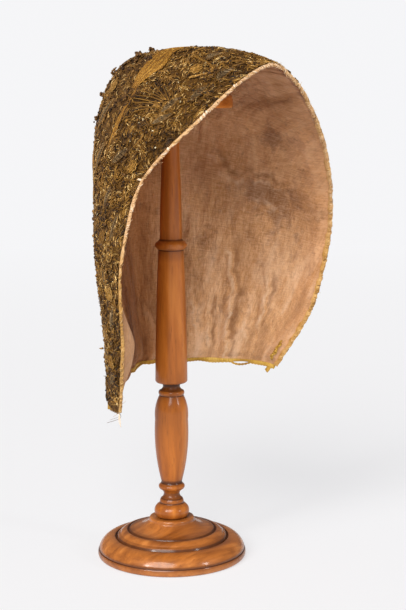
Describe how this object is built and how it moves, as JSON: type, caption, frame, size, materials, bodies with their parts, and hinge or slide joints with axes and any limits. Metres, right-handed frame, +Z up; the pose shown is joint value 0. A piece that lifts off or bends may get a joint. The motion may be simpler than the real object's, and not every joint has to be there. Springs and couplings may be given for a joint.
{
  "type": "embroidered coif on a turned wooden stand",
  "caption": "Fitted coif of metal-thread embroidery over a silk lining, held up by a turned wooden stand with a round foot.",
  "frame": {"origin": "centre of the stand's flat foot, where it rests", "axes": "+Z up along the stand, the coif's face opening looks along -Y, its wearer's right is -X"},
  "size_m": [0.1996, 0.1568, 0.3728],
  "materials": {
    "wood_base": "glossy varnish",
    "wood_stem": "glossy varnish",
    "wood_head": "satin",
    "embroidery_band": "aged gold thread embroidery",
    "embroidery_back": "aged gold thread embroidery",
    "gold_braid": "woven gold braid",
    "silk_lining": "worn matt silk",
    "cream_binding": "frayed silk binding",
    "mustard_ribbon": "silk ribbon",
    "mustard_lace": "silk lace"
  },
  "bodies": {
    "root": {"stand_base": "wood_base", "stand_stem": "wood_stem", "stand_head": "wood_head", "front_band": "embroidery_band", "back_crown": "embroidery_back", "seam_braid": "gold_braid", "lining": "silk_lining", "front_binding": "cream_binding", "nape_binding": "mustard_ribbon", "nape_lace": "mustard_lace"}
  },
  "joints": []
}
